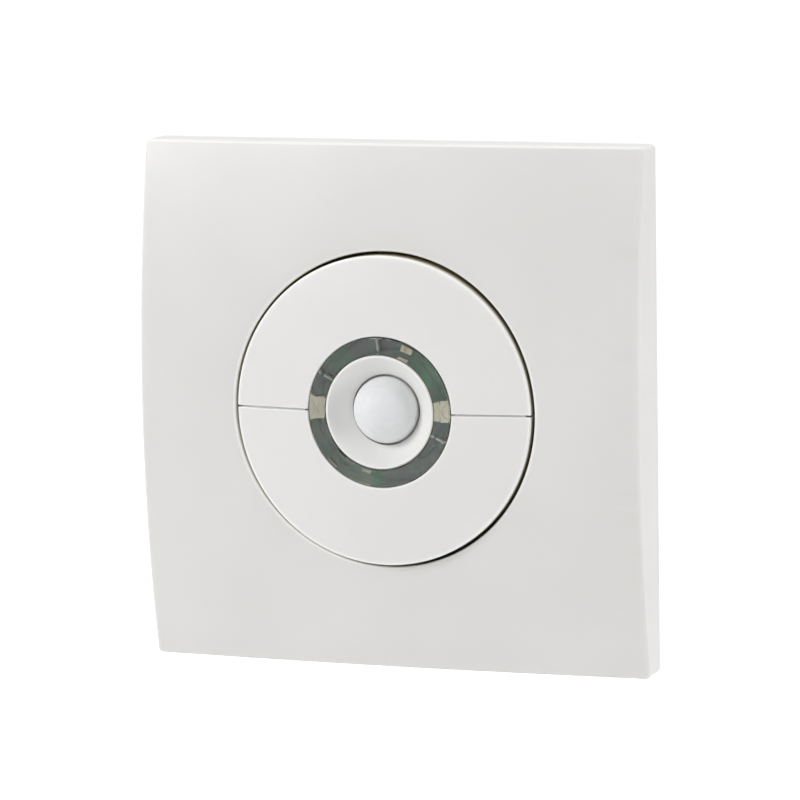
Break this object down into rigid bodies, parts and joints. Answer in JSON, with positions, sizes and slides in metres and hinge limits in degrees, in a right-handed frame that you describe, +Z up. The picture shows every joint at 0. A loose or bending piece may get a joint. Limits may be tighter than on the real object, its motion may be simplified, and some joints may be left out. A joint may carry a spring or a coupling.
{
  "type": "motion sensor light switch",
  "caption": "Square flush wall switch with a crowned white plate, half-ring push keys and a clear ring round a motion sensor dome in a funnel bezel.",
  "frame": {"origin": "centre of the two wall-box screw slots, on the wall plane at the back of the support frame", "axes": "-Y out of the wall towards the room, +Z up, +X to the right when facing the switch"},
  "size_m": [0.086, 0.0407, 0.086],
  "materials": {
    "plate_white": "smooth semi-gloss moulding",
    "key_white": "smooth semi-gloss moulding",
    "bezel_white": "smooth semi-gloss moulding",
    "clear_plastic": "polished clear moulding",
    "milky_plastic": "milky film-like moulding",
    "natural_plastic": "fine matt moulding",
    "carrier_grey": "fine matt moulding",
    "housing_white": "fine matt moulding",
    "zinc_steel": "zinc plated",
    "can_steel": "nickel plated, drawn",
    "brass": "plain stamped brass",
    "tinned_metal": "tinned",
    "board_green": "solder resist over glass-fibre board",
    "led_cream": "moulded body with yellow gel",
    "black_plastic": "fine matt moulding",
    "part_grey": "sintered body with tinned ends",
    "sensor_beige": "moulded body",
    "filter_dark": "dark polished filter",
    "switch_black": "fine matt moulding",
    "relay_blue": "smooth moulding",
    "film_yellow": "moulded box",
    "can_sleeve": "shrink sleeve with bare top",
    "varistor_blue": "dipped coating",
    "fuse_glass": "glass barrel with plated caps",
    "ferrite": "fired ferrite with wound copper"
  },
  "bodies": {
    "mechanism": {"support_frame": "zinc_steel", "front_carrier": "carrier_grey", "rear_housing": "housing_white", "light_ring": "clear_plastic", "lens_bezel": "bezel_white", "fresnel_lens": "milky_plastic", "sensor_holder": "natural_plastic", "pir_base": "can_steel", "pir_can": "can_steel", "pir_window": "filter_dark", "pir_leads": "tinned_metal", "sensor_board": "board_green", "ring_leds": "led_cream", "board_parts": "part_grey", "daylight_sensor": "sensor_beige", "controller_chip": "black_plastic", "board_screws": "zinc_steel", "carrier_screws": "zinc_steel", "housing_screws": "zinc_steel", "power_board": "board_green", "relay": "relay_blue", "film_capacitor": "film_yellow", "storage_capacitor": "can_sleeve", "filter_capacitor": "can_sleeve", "varistor": "varistor_blue", "fuse": "fuse_glass", "choke": "ferrite", "rectifier": "black_plastic", "link_header": "black_plastic", "link_pins": "tinned_metal", "link_socket": "black_plastic", "terminal_block": "natural_plastic", "terminal_clamps": "brass", "terminal_screws": "zinc_steel", "upper_switch_base": "switch_black", "lower_switch_base": "switch_black", "upper_switch_cover": "can_steel", "lower_switch_cover": "can_steel", "upper_snap_dome": "can_steel", "lower_snap_dome": "can_steel", "time_trimmer": "relay_blue", "daylight_trimmer": "relay_blue"},
    "cover_plate": {"cover_plate": "plate_white"},
    "upper_key": {"upper_key": "key_white"},
    "lower_key": {"lower_key": "key_white"},
    "upper_plunger": {"upper_plunger": "switch_black"},
    "lower_plunger": {"lower_plunger": "switch_black"},
    "time_dial": {"time_dial": "natural_plastic"},
    "daylight_dial": {"daylight_dial": "natural_plastic"}
  },
  "joints": [
    {"name": "cover_plate_pull", "type": "slide", "parent": "mechanism", "child": "cover_plate", "axis": [0, -1, 0], "range_m": [0, 0.007]},
    {"name": "upper_key_press", "type": "hinge", "parent": "mechanism", "child": "upper_key", "pos_m": [0, -0.007, 0.0026], "axis": [-1, 0, 0], "range_deg": [0, 2], "stiffness_Nm_per_rad": 0.6, "springref_deg": -0.23},
    {"name": "lower_key_press", "type": "hinge", "parent": "mechanism", "child": "lower_key", "pos_m": [0, -0.007, -0.0026], "axis": [1, 0, 0], "range_deg": [0, 2], "stiffness_Nm_per_rad": 0.6, "springref_deg": -0.23},
    {"name": "upper_plunger_travel", "type": "slide", "parent": "mechanism", "child": "upper_plunger", "axis": [0, 1, 0], "range_m": [0, 0.00053]},
    {"name": "lower_plunger_travel", "type": "slide", "parent": "mechanism", "child": "lower_plunger", "axis": [0, 1, 0], "range_m": [0, 0.00053]},
    {"name": "time_dial_turn", "type": "hinge", "parent": "mechanism", "child": "time_dial", "pos_m": [-0.01, 0.0242, 0.012], "axis": [0, 1, 0], "range_deg": [-135, 135]},
    {"name": "daylight_dial_turn", "type": "hinge", "parent": "mechanism", "child": "daylight_dial", "pos_m": [0.01, 0.0242, 0.012], "axis": [0, 1, 0], "range_deg": [-135, 135]}
  ],
  "couplings": [
    {"joint": "upper_plunger_travel", "follows": "upper_key_press", "m_per_rad": 0.0149},
    {"joint": "lower_plunger_travel", "follows": "lower_key_press", "m_per_rad": 0.0149}
  ]
}
